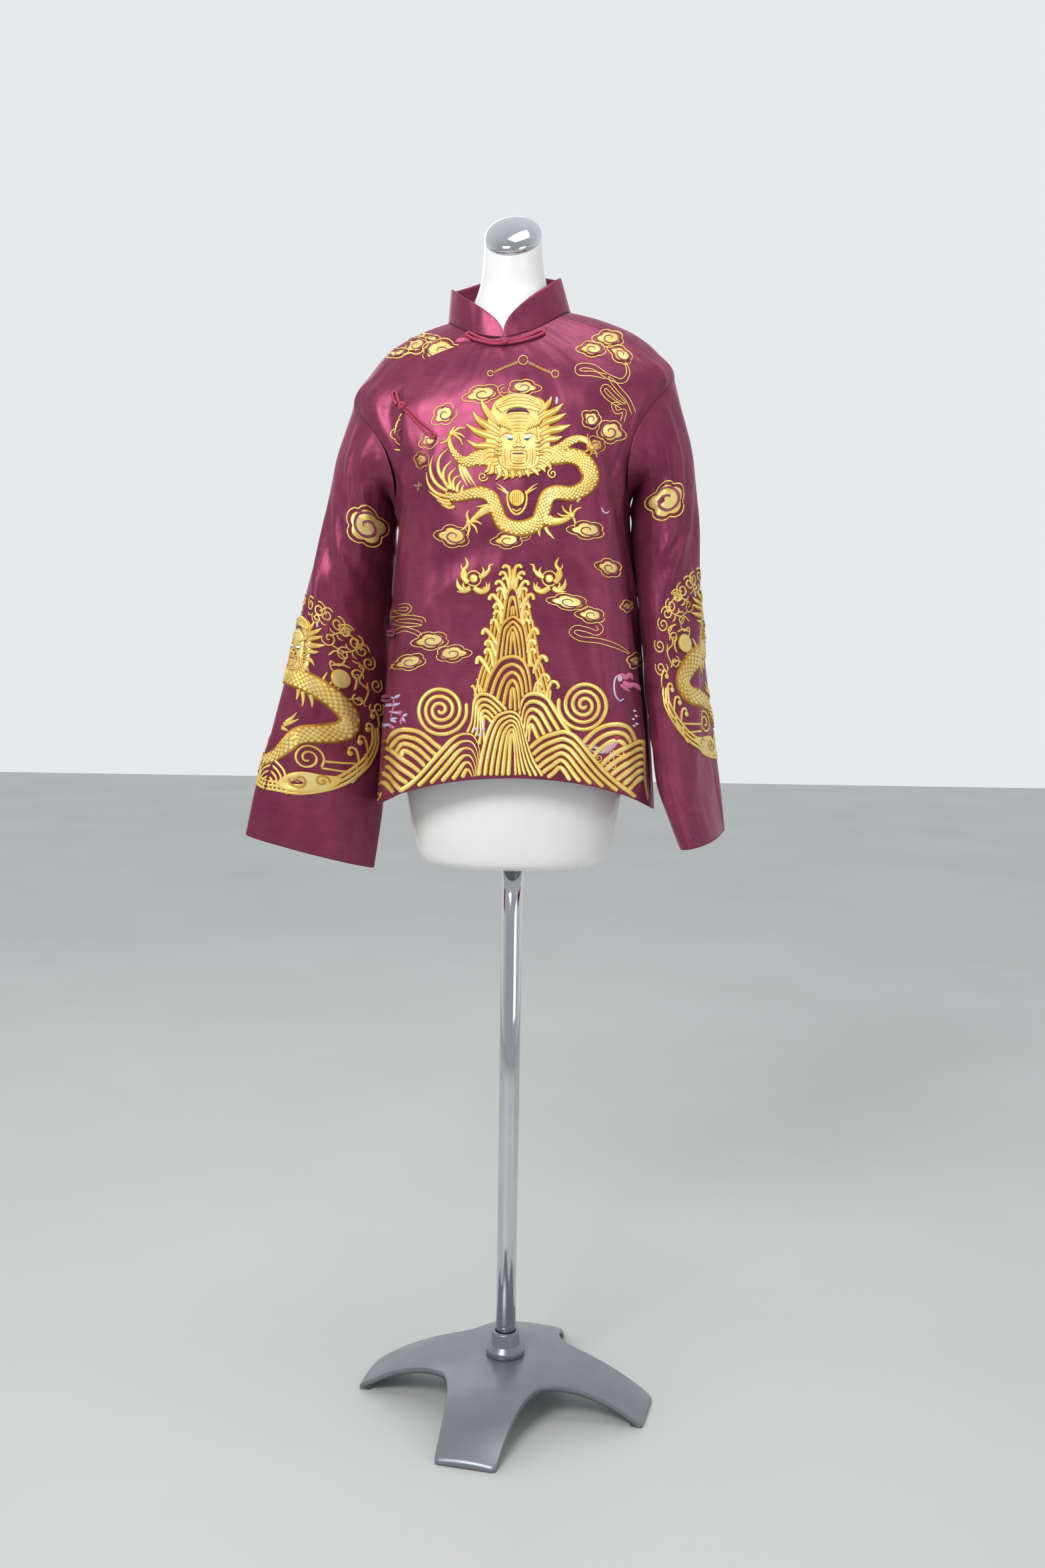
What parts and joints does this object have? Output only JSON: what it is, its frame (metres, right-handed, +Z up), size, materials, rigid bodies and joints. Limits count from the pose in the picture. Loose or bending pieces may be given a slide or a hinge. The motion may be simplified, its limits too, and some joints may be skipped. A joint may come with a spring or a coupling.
{
  "type": "magua jacket on dress form",
  "caption": "Long-sleeved side-closing magua jacket in embroidered satin with a stand collar and knotted frogs, on a limbless dress form and stand.",
  "frame": {"origin": "on the floor, midway between the extremes of the whole object in X and in Y", "axes": "+Z up from the floor to the neck cap, -Y the front of the jacket, +X the wearer's left"},
  "size_m": [0.6532, 0.4182, 1.6256],
  "materials": {
    "satin": "satin with raised embroidery",
    "frog_satin": "satin cord",
    "form_shell": "high gloss",
    "mirror_cap": "mirror",
    "pole_chrome": "mirror",
    "stand_grey": "satin metallic grey"
  },
  "bodies": {
    "root": {"front_main": "satin", "front_under": "satin", "back": "satin", "sleeve_right": "satin", "sleeve_left": "satin", "collar": "satin", "frog_neck_bar_right": "frog_satin", "frog_neck_bar_left": "frog_satin", "frog_neck_knot": "frog_satin", "frog_chest_bar_under": "frog_satin", "frog_chest_bar_main": "frog_satin", "frog_chest_knot": "frog_satin", "frog_side_high_bar_front": "frog_satin", "frog_side_high_bar_back": "frog_satin", "frog_side_high_knot": "frog_satin", "frog_side_low_bar_front": "frog_satin", "frog_side_low_bar_back": "frog_satin", "frog_side_low_knot": "frog_satin", "form_torso": "form_shell", "neck_cap": "mirror_cap", "stand_base": "stand_grey", "stand_pole": "pole_chrome", "stand_flange": "stand_grey", "stand_hub": "stand_grey"}
  },
  "joints": []
}
